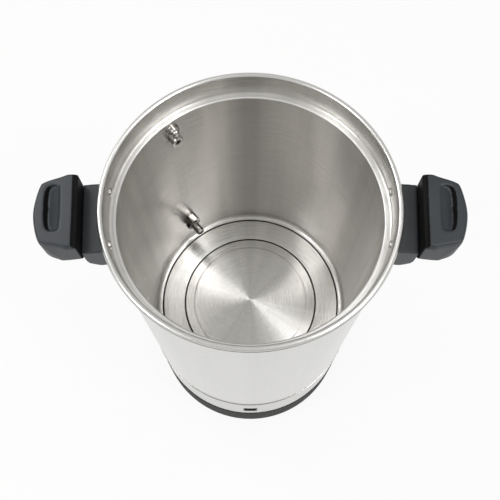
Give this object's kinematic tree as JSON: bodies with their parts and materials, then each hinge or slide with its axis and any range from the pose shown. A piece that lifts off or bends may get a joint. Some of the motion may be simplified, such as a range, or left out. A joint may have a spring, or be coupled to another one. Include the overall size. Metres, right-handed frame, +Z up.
{
  "type": "hot water urn",
  "caption": "Round stainless steel hot water urn, open at the top, with side handles, a lever tap and a sight gauge.",
  "frame": {"origin": "on the urn's axis, at the plane of its feet", "axes": "+Z up along the urn's axis; the mains inlet looks along -Y; the handles lie to +X and -X"},
  "size_m": [0.419, 0.3142, 0.529],
  "materials": {
    "brushed_steel": "circular and horizontal brushing",
    "polished_steel": "polished",
    "plain_steel": "plain zinc-plated",
    "dark_steel": "dark plated",
    "aluminium": "cast",
    "brass": "plain",
    "grey_plastic": "fine moulded grain",
    "black_plastic": "fine moulded grain",
    "white_plastic": "moulded",
    "red_plastic": "clear lens",
    "green_plastic": "clear lens",
    "black_rubber": "matt",
    "silicone": "soft matt",
    "gauge_glass": "clear"
  },
  "bodies": {
    "urn": {"tank": "brushed_steel", "tank_floor": "brushed_steel", "outer_shell": "brushed_steel", "base_skirt": "brushed_steel", "tap_shank": "polished_steel", "port_bolt": "polished_steel", "dome_stud": "polished_steel", "socket_screw": "polished_steel", "wall_washers": "polished_steel", "gauge_foot": "polished_steel", "gauge_top": "polished_steel", "guard_rods": "polished_steel", "tap_body": "polished_steel", "bonnet": "polished_steel", "handle_rivets": "polished_steel", "base_plate": "plain_steel", "base_screws": "plain_steel", "tie_studs": "plain_steel", "tie_nuts": "plain_steel", "grip_screws": "plain_steel", "return_spring": "plain_steel", "heating_element": "plain_steel", "inlet_pins": "plain_steel", "shank_locknut": "dark_steel", "heating_plate": "aluminium", "element_terminals": "brass", "thermostat_bulb": "brass", "cutout_bulb": "brass", "left_mount": "grey_plastic", "right_mount": "grey_plastic", "left_grip": "grey_plastic", "right_grip": "grey_plastic", "base_ring": "black_plastic", "control_bezel": "black_plastic", "inlet_socket": "black_plastic", "thermostat": "white_plastic", "cutout": "white_plastic", "wall_spacers": "white_plastic", "power_lamp": "red_plastic", "ready_lamp": "green_plastic", "rubber_feet": "black_rubber", "tube_seals": "silicone", "sight_tube": "gauge_glass"},
    "stem": {"valve_stem": "polished_steel", "seat_plug": "silicone", "lever_pin": "polished_steel"},
    "lever": {"tap_lever": "black_plastic"},
    "knob": {"control_knob": "black_plastic", "thermostat_spindle": "plain_steel"},
    "reset": {"reset_button": "red_plastic"}
  },
  "joints": [
    {"name": "stem_lift", "type": "slide", "parent": "urn", "child": "stem", "axis": [0, 0, 1], "range_m": [0, 0.0034], "deforming": ["return_spring"]},
    {"name": "lever_turn", "type": "hinge", "parent": "stem", "child": "lever", "pos_m": [-0.12406, 0.14785, 0.2614], "axis": [-0.766, -0.6428, 0], "range_deg": [0, 40], "stiffness_Nm_per_rad": 0.25, "springref_deg": -17.19},
    {"name": "knob_turn", "type": "hinge", "parent": "urn", "child": "knob", "pos_m": [-0.10092, 0.12027, 0.106], "axis": [0.6428, -0.766, 0], "range_deg": [0, 270]},
    {"name": "reset_press", "type": "slide", "parent": "urn", "child": "reset", "axis": [0, 0, 1], "range_m": [0, 0.0025], "stiffness_N_per_m": 400, "springref_m": -0.001}
  ],
  "couplings": [
    {"joint": "stem_lift", "follows": "lever_turn", "m_per_rad": 0.004604}
  ]
}
